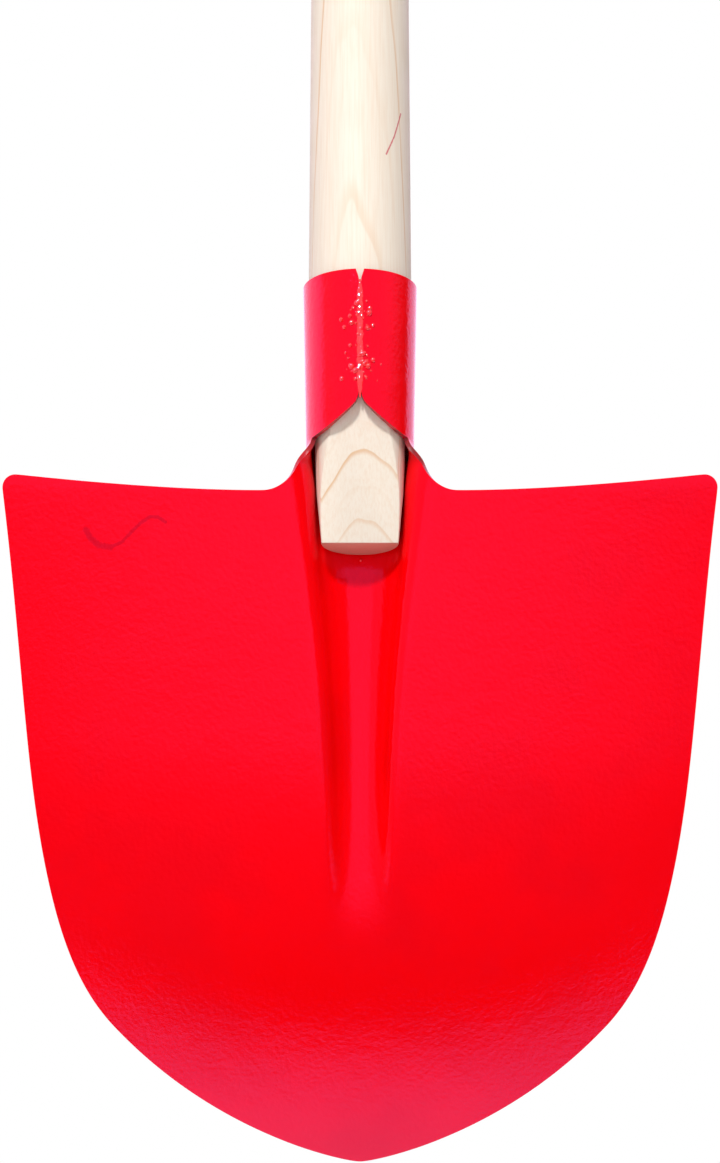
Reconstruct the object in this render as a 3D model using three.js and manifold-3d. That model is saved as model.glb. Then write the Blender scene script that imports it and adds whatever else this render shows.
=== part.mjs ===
// A round point shovel, in millimetres. The handle's axis is Z, with the middle of its flat butt at the
// origin and the blade below. The shovel is symmetric about X = 0. Its open back, with the socket's welded
// seam, faces -Y, and the hollow front of the blade, which carries the load, faces +Y.
import * as THREE from "three";
import { mergeVertices } from "three/addons/utils/BufferGeometryUtils.js";
import Module from "manifold-3d";

// Driving dimensions. Depths are measured along the handle's axis, down from the socket's rim.
const GAP = 0.3; // left between pieces that touch
const SHEET = 1.8; // steel thickness
const LIFT_DEGREES = 16.2; // lean of the handle from the flat upper blade

const HANDLE_LENGTH = 1300;
const SHAFT_RADIUS = 19;
const SWELL_RADIUS = 19.45; // halfway down the swell above the socket
const SWELL_LENGTH = 240;
const MOUTH_RADIUS = 19.9; // handle at the socket's rim
const NECK_RADIUS = 18.5; // handle that would fill the socket at its waist
const GRIP_DEPTH = 46; // rim to where the handle starts to taper away from the socket
const WAIST_TAPER_RADIUS = 17.3; // handle at the socket's waist
const TAPER_RADIUS = 16.5;
const END_RADIUS = 14.6; // handle at its lower end
const FLAT_OFFSET = 1.5; // handle's axis to the sawn flat, at its lower end
const INSERT_DEPTH = 103.2; // rim to the handle's lower end
const BUTT_CHAMFER = 3;

const NOTCH_DEPTH = 4; // nick in the rim at the seam
const NOTCH_WIDTH = 3;
const SEAM_GAP = 1.8; // between the socket's two edges, filled by the weld
const SEAM_DEPTH = 51.9; // rim to the top of the V-shaped opening
const WAIST_DEPTH = 64; // rim to the waist, where the open neck begins
const TAPER_DEPTH = (WAIST_DEPTH + INSERT_DEPTH) / 2;
const SHOULDER_DEPTH = 81.95; // rim to the shoulder line
const WAIST_FLANK = 9.8; // sheet past each side of the bottom arc at the waist
const FLARE_SHARE = 0.5; // of the neck, over which its flanks turn from curling in to folding out
const NECK_HALF_WIDTH = 36.9; // centre to where a shoulder becomes straight

const AXIS_DEPTH = 8.64; // handle's axis in front of the blade's back face plane, at the shoulder line
const BLADE_WIDTH = 271.8;
const BLADE_LENGTH = 262.6; // shoulder line to the point, along the flat upper blade
const SHOULDER_RISE = 6.2;
const CORNER_RADIUS = 5;
const CURL_START = 95; // below the shoulder line, where the blade starts to curl forwards
const CURL_RADIUS = 306;
const SHOULDER_CROSS_RADIUS = 1300; // blade's bow from side to side at the shoulders
const POINT_CROSS_RADIUS = 430; // and in its lower half
const CROSS_BLEND = 150; // length over which one becomes the other

const FROG_DEPTH = 28.2; // hollow frog in front of the blade, at the shoulder line
const FROG_HALF_WIDTH = 28.7;
const FOOT_START = 32; // below the shoulder line, where the frog turns into its long foot
const FOOT_END = 166; // where the foot's straight floor meets the curled blade
const FOOT_DEPTH = 15.6;
const FOOT_HALF_WIDTH = 23;
const FOOT_END_HALF_WIDTH = 14;
const FROG_BOTTOM_SHARE = 0.62; // of the section's radii, taken by the bottom arc, at the shoulder line
const FOOT_BOTTOM_SHARE = 0.72; // and along the foot

const WELD_CROWN_WIDTH = 4.4;
const WELD_CROWN_HEIGHT = 0.6;
const WELD_RIPPLES = 9;

const SCREW_DEPTH = 30; // rim to the fixing screw
const SCREW_RADIUS = 2;
const SCREW_LENGTH = 24;
const SCREW_POINT = 4;
const SCREW_HEAD_RADIUS = 4.5;
const SCREW_HEAD_HEIGHT = 2.4;
const SLOT_WIDTH = 1;
const SLOT_DEPTH = 1.1;

// How finely the surfaces are divided.
const CENTRE_COLUMNS = 14; // from the middle to the neck's edge, on each side
const WING_COLUMNS = 9;
const CORNER_STEPS = 2;
const BLADE_ROWS = 20;
const V_ROWS = 6;
const NECK_ROWS = 8;
const ROUND_STEPS = 32;

const LIFT = THREE.MathUtils.degToRad(LIFT_DEGREES);
const RIM_Z = INSERT_DEPTH - HANDLE_LENGTH;
const DOWN = new THREE.Vector3(0, Math.sin(LIFT), -Math.cos(LIFT)); // along the flat upper blade
const FORWARD = new THREE.Vector3(0, Math.cos(LIFT), Math.sin(LIFT)); // square to it, to the front

const { lerp, smoothstep } = THREE.MathUtils;
const wasm = await Module();
wasm.setup();

// ---- Handle and socket radii ----

// The radius that fills the socket's bore.
const boreRadius = (depth) => lerp(MOUTH_RADIUS, NECK_RADIUS, depth / WAIST_DEPTH);

const HANDLE_STATIONS = [
  [-SWELL_LENGTH, SHAFT_RADIUS],
  [-SWELL_LENGTH / 2, SWELL_RADIUS],
  [0, MOUTH_RADIUS],
  [GRIP_DEPTH, boreRadius(GRIP_DEPTH)],
  [WAIST_DEPTH, WAIST_TAPER_RADIUS],
  [TAPER_DEPTH, TAPER_RADIUS],
  [INSERT_DEPTH, END_RADIUS],
];

// Radius of the middle of the sheet. The socket's inner flats, not its corners, clear the handle.
function socketRadius(depth) {
  const flat = Math.cos(Math.PI / (2 * CENTRE_COLUMNS));
  return (boreRadius(depth) + GAP) / flat + SHEET / 2;
}

const axisPoint = (depth) => new THREE.Vector3(0, 0, RIM_Z - depth);

// ---- The pressed sheet's middle surface ----

// A point at arc length a from the middle of a section: a bottom arc that turns by `turn`, then a flank of
// curvature `bend`, which goes level again where the flank bends outwards.
function sectionPoint(a, { bottom, turn, bend }) {
  const arc = Math.min(a, bottom * turn);
  const angle = arc / bottom;
  const level = bend < 0 ? -turn / bend : Infinity;
  const flank = Math.min(a - arc, level);
  const end = turn + bend * flank;
  const x = bottom * Math.sin(angle) + (Math.sin(end) - Math.sin(turn)) / bend;
  const rise = bottom * (1 - Math.cos(angle)) + (Math.cos(turn) - Math.cos(end)) / bend;
  if (flank <= 0) return { x: bottom * Math.sin(angle), rise: bottom * (1 - Math.cos(angle)) };
  return { x: x + (a - arc - flank), rise };
}

// The frog's section u below the shoulder line: two arcs that meet, of a given total depth and half width.
function frogSection(u) {
  const along = THREE.MathUtils.clamp((u - FOOT_START) / (FOOT_END - FOOT_START), -1, 1);
  const foot = lerp(FOOT_DEPTH, dish(0, FOOT_END), along) - dish(0, u);
  const neck = lerp(FROG_DEPTH, FOOT_DEPTH, u / FOOT_START);
  const depth = blendedMax(blendedMax(foot, neck), 0);
  const width =
    u < FOOT_START
      ? lerp(FROG_HALF_WIDTH, FOOT_HALF_WIDTH, u / FOOT_START)
      : lerp(FOOT_END_HALF_WIDTH, FOOT_HALF_WIDTH, (1 - along) ** 2.4);
  const turn = 2 * Math.atan(Math.max(depth, 1e-3) / width);
  const radii = width / Math.sin(turn);
  const start = THREE.MathUtils.clamp(u / FOOT_START, 0, 1);
  const bottom = radii * lerp(FROG_BOTTOM_SHARE, FOOT_BOTTOM_SHARE, start);
  return { depth, width, turn, bottom, bend: -1 / (radii - bottom), length: radii * turn };
}

function blendedMax(a, b) {
  const softness = 0.7;
  return (a + b + Math.sqrt((a - b) ** 2 + 4 * softness ** 2)) / 2;
}

// How far the blade bows and curls forwards.
function dish(x, u) {
  const below = Math.max(0, u - CURL_START);
  const curl = CURL_RADIUS - Math.sqrt(CURL_RADIUS ** 2 - below ** 2);
  const share = THREE.MathUtils.clamp(u / CROSS_BLEND, 0, 1);
  const bow = lerp(1 / SHOULDER_CROSS_RADIUS, 1 / POINT_CROSS_RADIUS, share);
  return curl + (bow * x * x) / 2;
}

const BLADE_ORIGIN = axisPoint(SHOULDER_DEPTH).addScaledVector(FORWARD, -AXIS_DEPTH);

// A point of the blade, from its place in the plan: x across, u down from the shoulder line.
function bladePoint({ x: planX, y: u }) {
  const frog = frogSection(u);
  let x = planX;
  let forward = 0;
  if (planX < frog.width) {
    const across = sectionPoint((planX / frog.width) * frog.length, frog);
    x = across.x;
    forward = frog.depth - across.rise;
  }
  return BLADE_ORIGIN.clone()
    .addScaledVector(DOWN, u)
    .addScaledVector(FORWARD, forward + dish(x, u))
    .setX(x);
}

const SHOULDER_SECTION = frogSection(0);

// A section of the open neck, a share k of the way from the waist to the shoulder line.
function neckSection(k) {
  const waistRadius = socketRadius(WAIST_DEPTH);
  const depth = lerp(WAIST_DEPTH, SHOULDER_DEPTH, k);
  const tilt = LIFT * k;
  const axisDepth = AXIS_DEPTH + (SHOULDER_DEPTH - depth) * Math.sin(LIFT);
  const floor = lerp(waistRadius, SHOULDER_SECTION.depth - AXIS_DEPTH, k);
  const turn = lerp(Math.PI / 2, SHOULDER_SECTION.turn, k);
  const bottom = lerp(waistRadius, SHOULDER_SECTION.bottom, k);
  const fold = (axisDepth / Math.cos(LIFT - tilt) + floor) / (1 - Math.cos(turn)) - bottom;
  const bend = lerp(1 / waistRadius, -1 / fold, smoothstep(k, 0, FLARE_SHARE));
  const shoulderFlank = SHOULDER_SECTION.length - SHOULDER_SECTION.bottom * SHOULDER_SECTION.turn;
  const widest = shoulderFlank + NECK_HALF_WIDTH - SHOULDER_SECTION.width;
  const flare = lerp(WAIST_FLANK, widest, 1 - Math.sqrt(1 - k * k));
  const edge = bottom * turn + flare;
  return { depth, tilt, floor, turn, bottom, bend, edge, bow: k };
}

// A section of the closed socket, whose edge stops short of the seam.
function socketSection(depth, openWidth) {
  const bottom = socketRadius(depth);
  const edge = Math.PI * bottom - openWidth / 2;
  return { depth, tilt: 0, floor: bottom, turn: Math.PI / 2, bottom, bend: 1 / bottom, edge, bow: 0 };
}

// The half row of points from the middle of a socket or neck section to its edge.
function sectionRow(section) {
  const across = new THREE.Vector3(0, Math.cos(section.tilt), Math.sin(section.tilt));
  return Array.from({ length: CENTRE_COLUMNS + 1 }, (_, i) => {
    const { x, rise } = sectionPoint((section.edge * i) / CENTRE_COLUMNS, section);
    const forward = section.floor - rise + section.bow * dish(x, 0);
    return axisPoint(section.depth).addScaledVector(across, forward).setX(x);
  });
}

function socketRows() {
  const notch = [0, 0.5].map((t) => [NOTCH_DEPTH * t, lerp(NOTCH_WIDTH, SEAM_GAP, t)]);
  const closed = [0, 0.25, 0.5, 0.75].map((t) => [lerp(NOTCH_DEPTH, SEAM_DEPTH, t), SEAM_GAP]);
  const top = socketSection(SEAM_DEPTH, SEAM_GAP);
  const waistEdge = neckSection(0).edge;
  const opening = Array.from({ length: V_ROWS }, (_, j) => {
    const left = 1 - j / V_ROWS;
    const section = socketSection(lerp(WAIST_DEPTH, SEAM_DEPTH, left * left), 0);
    return { ...section, edge: lerp(waistEdge, top.edge, left ** 1.1) };
  });
  const neck = Array.from({ length: NECK_ROWS }, (_, j) =>
    neckSection(Math.sin(((Math.PI / 2) * j) / NECK_ROWS)),
  );
  return [
    ...[...notch, ...closed].map(([depth, open]) => socketSection(depth, open)),
    ...opening,
    ...neck,
  ].map(sectionRow);
}

// ---- The blade's outline, in the plan ----

const CORNER_CENTRE = new THREE.Vector2(
  BLADE_WIDTH / 2 - CORNER_RADIUS,
  CORNER_RADIUS - SHOULDER_RISE,
);
const CORNER_ANGLES = [-1.67, -0.78, 0.12]; // start, middle and end of a corner's arc, in radians

function cornerPoint(angle) {
  const arm = new THREE.Vector2(Math.cos(angle), Math.sin(angle)).multiplyScalar(CORNER_RADIUS);
  return CORNER_CENTRE.clone().add(arm);
}

function shoulderPath() {
  const end = cornerPoint(CORNER_ANGLES[0]);
  const path = new THREE.Path([new THREE.Vector2(NECK_HALF_WIDTH, 0)]);
  path.quadraticCurveTo(lerp(NECK_HALF_WIDTH, end.x, 0.4), 0, end.x, end.y);
  return path;
}

// The side runs from the corner down to the cheek, where the point begins.
const CHEEK = new THREE.Vector2(0.3572 * BLADE_WIDTH, 0.78 * BLADE_LENGTH);

function sidePath() {
  const start = cornerPoint(CORNER_ANGLES[2]);
  const [w, l] = [BLADE_WIDTH, BLADE_LENGTH];
  const path = new THREE.Path([start]);
  path.bezierCurveTo(0.4625 * w, 0.323 * l, 0.4706 * w, 0.646 * l, CHEEK.x, CHEEK.y);
  return path;
}

function pointPath() {
  const path = new THREE.Path([new THREE.Vector2(0, BLADE_LENGTH)]);
  const [w, l] = [BLADE_WIDTH, BLADE_LENGTH];
  path.bezierCurveTo(0.0188 * w, l, 0.2079 * w, 0.9573 * l, CHEEK.x, CHEEK.y);
  return path;
}

const spaced = (path, steps) => path.getSpacedPoints(steps);

function cornerPoints(from, to) {
  return Array.from({ length: CORNER_STEPS }, (_, i) =>
    cornerPoint(lerp(CORNER_ANGLES[from], CORNER_ANGLES[to], (i + 1) / CORNER_STEPS)),
  );
}

function topLine() {
  const { width, length } = SHOULDER_SECTION;
  const edge = neckSection(1).edge;
  const centre = Array.from({ length: CENTRE_COLUMNS }, (_, i) => {
    const a = (edge * i) / CENTRE_COLUMNS;
    return new THREE.Vector2(a < length ? (a * width) / length : width + a - length, 0);
  });
  return [...centre, ...spaced(shoulderPath(), WING_COLUMNS), ...cornerPoints(0, 1)];
}

function sideLine() {
  const corner = [cornerPoint(CORNER_ANGLES[1]), ...cornerPoints(1, 2)];
  return [...corner.slice(0, -1), ...spaced(sidePath(), BLADE_ROWS)];
}

// Shares of the way along a line of points, by length.
function shares(line) {
  const lengths = [0];
  line.slice(1).forEach((p, i) => lengths.push(lengths[i] + p.distanceTo(line[i])));
  return lengths.map((l) => l / lengths.at(-1));
}

// Plan points between the four edges of the half blade: shoulder, middle line, side and point.
function bladeRows() {
  const top = topLine();
  const side = sideLine();
  const f = top.map((p) => p.x / top.at(-1).x);
  const g = shares(side);
  const point = pointPath();
  const bottom = f.map((t) => point.getPointAt(t));
  return side.map((right, j) =>
    top.map((above, i) => {
      const [s, t] = [f[i], g[j]];
      const middle = new THREE.Vector2(0, BLADE_LENGTH * t);
      const plan = new THREE.Vector2()
        .addScaledVector(above, 1 - t)
        .addScaledVector(bottom[i], t)
        .addScaledVector(middle, 1 - s)
        .addScaledVector(right, s)
        .addScaledVector(top[0], -(1 - s) * (1 - t))
        .addScaledVector(top.at(-1), -s * (1 - t))
        .addScaledVector(bottom[0], -(1 - s) * t)
        .addScaledVector(CHEEK, -s * t);
      return bladePoint(plan);
    }),
  );
}

// ---- From a middle surface to a closed sheet ----

// Each half row is mirrored to a whole one. Neighbouring rows join over the columns that both have.
function sheetGeometry(halfRows, thickness) {
  const points = [];
  const rows = halfRows.map((half) => {
    const left = half.slice(1).reverse().map((p) => p.clone().setX(-p.x));
    const start = points.length;
    points.push(...left, ...half);
    return { start, reach: half.length - 1 };
  });
  const at = (row, column) => row.start + row.reach + column;
  const quads = [];
  rows.slice(1).forEach((low, r) => {
    const high = rows[r];
    const reach = Math.min(low.reach, high.reach);
    for (let c = -reach; c < reach; c++)
      quads.push([at(high, c), at(low, c), at(low, c + 1), at(high, c + 1)]);
  });

  const normals = points.map(() => new THREE.Vector3());
  const [u, v] = [new THREE.Vector3(), new THREE.Vector3()];
  const sides = new Map();
  for (const quad of quads) {
    const [a, b, c, d] = quad;
    u.subVectors(points[c], points[a]);
    v.subVectors(points[d], points[b]);
    const normal = u.clone().cross(v);
    quad.forEach((p, i) => {
      normals[p].add(normal);
      const q = quad[(i + 1) % 4];
      if (!sides.delete(`${q} ${p}`)) sides.set(`${p} ${q}`, [p, q]);
    });
  }

  const position = [];
  for (const side of [0.5, -0.5])
    points.forEach((p, i) => {
      const moved = p.clone().addScaledVector(normals[i].normalize(), side * thickness);
      position.push(...moved.toArray());
    });
  const under = points.length;
  const faces = [];
  for (const [a, b, c, d] of quads) {
    faces.push(a, b, c, a, c, d);
    faces.push(under + c, under + b, under + a, under + d, under + c, under + a);
  }
  for (const [p, q] of sides.values()) faces.push(q, p, under + p, q, under + p, under + q);
  const geometry = new THREE.BufferGeometry();
  geometry.setAttribute("position", new THREE.Float32BufferAttribute(position, 3));
  geometry.setIndex(faces);
  return geometry;
}

// ---- Booleans ----

function solid(geometry) {
  const bare = geometry.clone();
  bare.deleteAttribute("normal");
  bare.deleteAttribute("uv");
  const merged = mergeVertices(bare, 1e-3);
  return new wasm.Manifold(
    new wasm.Mesh({
      numProp: 3,
      vertProperties: merged.attributes.position.array,
      triVerts: new Uint32Array(merged.index.array),
    }),
  );
}

function cut(geometry, ...tools) {
  const mesh = tools.reduce((left, tool) => left.subtract(solid(tool)), solid(geometry)).getMesh();
  const made = new THREE.BufferGeometry();
  made.setAttribute("position", new THREE.BufferAttribute(mesh.vertProperties, 3));
  made.setIndex(new THREE.BufferAttribute(mesh.triVerts, 1));
  made.computeVertexNormals();
  return made;
}

// ---- Pieces ----

// A screw-shaped lathe about Y, larger all round by `extra`: the screw's shank, or the hole that clears it.
function shankProfile(headY, extra) {
  const radius = SCREW_RADIUS + extra;
  const tip = headY - SCREW_LENGTH - extra;
  return [
    [0, tip],
    [radius, tip + SCREW_POINT],
    [radius, headY],
  ];
}

const lathe = (profile) =>
  new THREE.LatheGeometry(
    profile.map(([r, y]) => new THREE.Vector2(r, y)),
    ROUND_STEPS,
  );

const SCREW_SEAT = socketRadius(SCREW_DEPTH - SCREW_HEAD_RADIUS) + SHEET / 2 + GAP;

function screwHole() {
  const top = SCREW_SEAT + SCREW_HEAD_HEIGHT;
  const hole = [...shankProfile(SCREW_SEAT, GAP), [SCREW_RADIUS + GAP, top], [0, top]];
  return lathe(hole).translate(0, 0, RIM_Z - SCREW_DEPTH);
}

function fixingScrew() {
  const dome = Array.from({ length: 6 }, (_, i) => {
    const angle = ((Math.PI / 2) * i) / 5;
    const radius = i === 5 ? 0 : SCREW_HEAD_RADIUS * Math.cos(angle);
    return [radius, SCREW_SEAT + SCREW_HEAD_HEIGHT * (0.3 + 0.7 * Math.sin(angle))];
  });
  const body = lathe([...shankProfile(SCREW_SEAT, 0), [SCREW_HEAD_RADIUS, SCREW_SEAT], ...dome]);
  const slot = new THREE.BoxGeometry(3 * SCREW_HEAD_RADIUS, 2 * SLOT_DEPTH, SLOT_WIDTH);
  slot.rotateY(0.6).translate(0, SCREW_SEAT + SCREW_HEAD_HEIGHT, 0);
  return cut(body, slot).translate(0, 0, RIM_Z - SCREW_DEPTH);
}

function bladeAndSocket() {
  return cut(sheetGeometry([...socketRows(), ...bladeRows()], SHEET), screwHole());
}

function handleShaft() {
  const end = RIM_Z - INSERT_DEPTH;
  const flanks = HANDLE_STATIONS.map(([depth, radius]) => [radius, RIM_Z - depth]).reverse();
  const profile = [
    [0, end],
    ...flanks,
    [SHAFT_RADIUS, -BUTT_CHAMFER],
    [SHAFT_RADIUS - BUTT_CHAMFER, 0],
    [0, 0],
  ];
  // The lower end is sawn off along a flat that is parallel to the upper blade.
  const waste = new THREE.BoxGeometry(3 * MOUTH_RADIUS, 3 * MOUTH_RADIUS, 4 * INSERT_DEPTH);
  waste.translate(0, -1.5 * MOUTH_RADIUS - FLAT_OFFSET, 0).rotateX(LIFT).translate(0, 0, end);
  return cut(lathe(profile).rotateX(Math.PI / 2), waste, screwHole());
}

// The weld fills the gap between the socket's edges and stands a little proud of them, in ripples.
function seamWeld() {
  const stem = SEAM_GAP / 2 - GAP;
  const crown = WELD_CROWN_WIDTH / 2;
  const steps = WELD_RIPPLES * 4;
  const outline = (radius, height) => {
    const inner = radius - SHEET / 2;
    const outer = radius + SHEET / 2 + GAP;
    return [
      [-stem, inner],
      [-stem, outer],
      [-crown, outer],
      [-0.6 * crown, outer + 0.7 * height],
      [0, outer + height],
      [0.6 * crown, outer + 0.7 * height],
      [crown, outer],
      [stem, outer],
      [stem, inner],
    ];
  };
  const position = [];
  for (let i = 0; i <= steps; i++) {
    const depth = lerp(NOTCH_DEPTH + GAP, SEAM_DEPTH - GAP, i / steps);
    const ripple = 0.75 + 0.25 * Math.abs(Math.sin((Math.PI * WELD_RIPPLES * i) / steps));
    for (const [x, radius] of outline(socketRadius(depth), WELD_CROWN_HEIGHT * ripple))
      position.push(x, -radius, RIM_Z - depth);
  }
  const sides = outline(0, 0).length;
  const faces = [];
  for (let i = 0; i < steps; i++)
    for (let j = 0; j < sides; j++) {
      const [a, b] = [i * sides + j, i * sides + ((j + 1) % sides)];
      faces.push(a, b + sides, b, a, a + sides, b + sides);
    }
  const cap = THREE.ShapeUtils.triangulateShape(
    outline(1, WELD_CROWN_HEIGHT).map(([x, y]) => new THREE.Vector2(x, y)),
    [],
  );
  for (const [a, b, c] of cap) {
    faces.push(a, c, b);
    faces.push(steps * sides + a, steps * sides + b, steps * sides + c);
  }
  const geometry = new THREE.BufferGeometry();
  geometry.setAttribute("position", new THREE.Float32BufferAttribute(position, 3));
  geometry.setIndex(faces);
  return geometry;
}

// ---- The shovel ----

const ENAMEL = new THREE.MeshStandardMaterial({ color: 0xe8001c, roughness: 0.25, metalness: 0 });
const WOOD = new THREE.MeshStandardMaterial({ color: 0xf0dfc6, roughness: 0.65, metalness: 0 });
const ZINC = new THREE.MeshStandardMaterial({ color: 0xb8bcc0, roughness: 0.35, metalness: 1 });

function piece(name, geometry, material) {
  const mesh = new THREE.Mesh(geometry, material);
  mesh.name = name;
  return mesh;
}

const head = new THREE.Group();
head.add(
  piece("blade_and_socket", bladeAndSocket(), ENAMEL),
  piece("seam_weld", seamWeld(), ENAMEL),
);

const shovel = new THREE.Group();
shovel.add(
  head,
  piece("handle_shaft", handleShaft(), WOOD),
  piece("fixing_screw", fixingScrew(), ZINC),
);

export default shovel;
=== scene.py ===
"""The looks of a round point shovel: its pressed and enamelled head, welded seam, wooden handle and screw.

The sheet of the head is laid out flat as a grid and pressed into shape by the same rules as its frame:
a bottom arc and two flanks across every section, along a socket, an open neck, a frog and a dished blade.
"""
import math
import random

import bmesh
import bpy
from bpy.props import FloatProperty, FloatVectorProperty, IntProperty, PointerProperty
from bpy.types import Operator, Panel, PropertyGroup
from mathutils import Matrix, Vector, noise
from mathutils.geometry import interpolate_bezier


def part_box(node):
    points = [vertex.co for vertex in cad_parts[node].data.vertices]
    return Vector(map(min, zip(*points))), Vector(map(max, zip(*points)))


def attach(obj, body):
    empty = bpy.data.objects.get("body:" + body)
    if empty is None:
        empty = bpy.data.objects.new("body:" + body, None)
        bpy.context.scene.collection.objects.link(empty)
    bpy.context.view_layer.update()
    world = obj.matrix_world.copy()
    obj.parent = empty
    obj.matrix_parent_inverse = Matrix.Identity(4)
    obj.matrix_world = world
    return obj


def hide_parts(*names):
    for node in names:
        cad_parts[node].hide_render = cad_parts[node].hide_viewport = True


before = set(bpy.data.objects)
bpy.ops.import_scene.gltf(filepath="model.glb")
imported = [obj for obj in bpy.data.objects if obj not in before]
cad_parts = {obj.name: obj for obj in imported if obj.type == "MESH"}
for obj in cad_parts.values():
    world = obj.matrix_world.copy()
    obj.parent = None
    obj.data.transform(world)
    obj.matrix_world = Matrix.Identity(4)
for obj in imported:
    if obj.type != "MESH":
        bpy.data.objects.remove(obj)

bl_info = {
    "name": "Round Point Shovel",
    "version": (1, 0, 0),
    "blender": (4, 5, 0),
    "location": "3D View > Sidebar > Shovel",
    "description": "Builds the visible pieces, materials and stage of a round point shovel",
    "category": "Object",
}

MM = 0.001
HEAD_LOW, HEAD_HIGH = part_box("blade_and_socket")
HANDLE_LOW, HANDLE_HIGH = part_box("handle_shaft")
WELD_LOW, WELD_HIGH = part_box("seam_weld")
SCREW_LOW, SCREW_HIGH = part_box("fixing_screw")
RIM_Z = HEAD_HIGH.z


# ---- Settings ----

def length(name, description, default):
    """A length setting whose default is given in metres."""
    return FloatProperty(name=name, description=description, default=default, unit="LENGTH", precision=5)


def colour(name, description, default):
    """A colour setting."""
    return FloatVectorProperty(
        name=name, description=description, default=default, subtype="COLOR", size=3, min=0, max=1
    )


class HeadSettings(PropertyGroup):
    """Sizes of the pressed head."""

    sheet: length("Sheet", "Thickness of the steel", 1.8 * MM)
    lift: FloatProperty(
        name="Lift",
        description="Lean of the handle from the flat upper blade",
        default=math.radians(16.2),
        subtype="ANGLE",
    )
    width: length("Blade width", "Corner to corner across the shoulders", 2 * HEAD_HIGH.x)
    blade: length("Blade length", "Shoulder line to the point, along the upper blade", 262.6 * MM)
    rise: length("Shoulder rise", "How far the corners stand above the neck", 6.2 * MM)
    corner: length("Corner radius", "Rounding of the blade's two corners", 5 * MM)
    frog_depth: length("Frog depth", "Depth of the hollow at the shoulder line", 28.2 * MM)
    frog_width: length("Frog half width", "Middle to the fold, at the shoulder line", 28.7 * MM)
    foot_depth: length("Foot depth", "Depth of the frog where its long foot begins", 15.6 * MM)
    foot_width: length("Foot half width", "Half width of the frog there", 23 * MM)
    bore: length("Neck bore", "Radius inside the socket's waist", 18.5 * MM)
    rows: IntProperty(name="Blade rows", description="Rows of faces down the blade", default=34, min=8)


class HandleSettings(PropertyGroup):
    """Sizes of the wooden handle."""

    shaft: length("Shaft radius", "Radius of the long straight shaft", 19 * MM)
    swell: length("Swell radius", "Radius halfway down the swell above the socket", 19.45 * MM)
    mouth: length("Mouth radius", "Radius where the handle enters the socket", 19.9 * MM)
    waist: length("Waist radius", "Radius at the socket's waist", 17.3 * MM)
    taper: length("Taper radius", "Radius halfway down the tapered end", 16.5 * MM)
    end: length("End radius", "Radius at the lower end", 14.6 * MM)
    offset: length("Flat offset", "Axis to the sawn flat, at the lower end", 1.5 * MM)
    ring: length("Ring spacing", "Distance between the wood's growth rings", 3.1 * MM)


class FinishSettings(PropertyGroup):
    """Colours of the finishes."""

    enamel: colour("Enamel", "Red enamel of the head", (0.84, 0.0002, 0.0012))
    mark: colour("Mark", "Dull mark in the enamel", (0.46, 0.0, 0.001))
    # The cut edges' colour is darker than the enamel: painted shade that draws a thin dark outline.
    edge: colour("Cut edge", "Darker red of the cut edges, painted shade for a thin dark outline", (0.46, 0.002, 0.01))
    wood: colour("Wood", "Pale early wood", (0.73, 0.65, 0.55))
    late: colour("Late wood", "Darker late wood of the rings", (0.62, 0.38, 0.21))
    # The sawn end's colour is partly darker end grain and partly painted red bounce light and shade from
    # the frog.
    end: colour("End grain and red bounce", "Darker end grain with painted red bounce and shade on the sawn end", (0.56, 0.17, 0.125))
    zinc: colour("Zinc", "Plating of the screw", (0.70, 0.71, 0.72))
    floor: colour("Floor", "Pale studio floor", (0.86, 0.86, 0.86))


class StageSettings(PropertyGroup):
    """The camera and the lights."""

    distance: length("Distance", "Camera to the upper blade", 1.2)
    aim: length("Aim", "How far below the shoulder line the camera looks", 34.6 * MM)
    view: length("View height", "Height of the view at the upper blade", 439.9 * MM)
    key: FloatProperty(name="Key light", description="Power of the main light", default=272, min=0)
    fill: FloatProperty(name="Fill light", description="Power of the front light", default=80, min=0)
    drop: length("Floor drop", "How far the floor lies below the point", 0.25)


def head():
    """The head's settings."""
    return bpy.context.scene.shovel_head


def handle():
    """The handle's settings."""
    return bpy.context.scene.shovel_handle


def finish():
    """The finishes' settings."""
    return bpy.context.scene.shovel_finish


def stage():
    """The stage's settings."""
    return bpy.context.scene.shovel_stage


# ---- How the sheet is pressed ----

GAP = 0.3 * MM  # between the handle and the socket
NOTCH_DEPTH = 4 * MM
NOTCH_WIDTH = 3 * MM
SEAM_GAP = 0.5 * MM
SEAM_DEPTH = 51.9 * MM
GRIP_DEPTH = 46 * MM
WAIST_DEPTH = 64 * MM
SHOULDER_DEPTH = 81.95 * MM
INSERT_DEPTH = RIM_Z - HANDLE_LOW.z
TAPER_DEPTH = (WAIST_DEPTH + INSERT_DEPTH) / 2
WAIST_FLANK = 9.8 * MM
FLARE_SHARE = 0.5
NECK_HALF_WIDTH = 36.9 * MM
AXIS_DEPTH = 8.64 * MM
SWELL_LENGTH = 240 * MM
CURL_START = 95 * MM
CURL_RADIUS = 306 * MM
SHOULDER_CROSS_RADIUS = 1300 * MM
POINT_CROSS_RADIUS = 430 * MM
CROSS_BLEND = 150 * MM
FOOT_START = 32 * MM
FOOT_END = 166 * MM
FOOT_END_WIDTH = 14 * MM
FROG_BOTTOM_SHARE = 0.62
FOOT_BOTTOM_SHARE = 0.72
FROG_SOFTNESS = 0.7 * MM
FLAT_SHARE = math.cos(math.pi / 28)  # the frame's socket has 28 flats, which clear the handle


def lerp(a, b, t):
    """A value a share t of the way from a to b."""
    return a + (b - a) * t


def smooth(t):
    """An S-shaped step from 0 to 1."""
    t = min(max(t, 0), 1)
    return t * t * (3 - 2 * t)


def bore_radius(depth):
    """The radius that fills the socket's bore."""
    return lerp(handle().mouth, head().bore, depth / WAIST_DEPTH)


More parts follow.
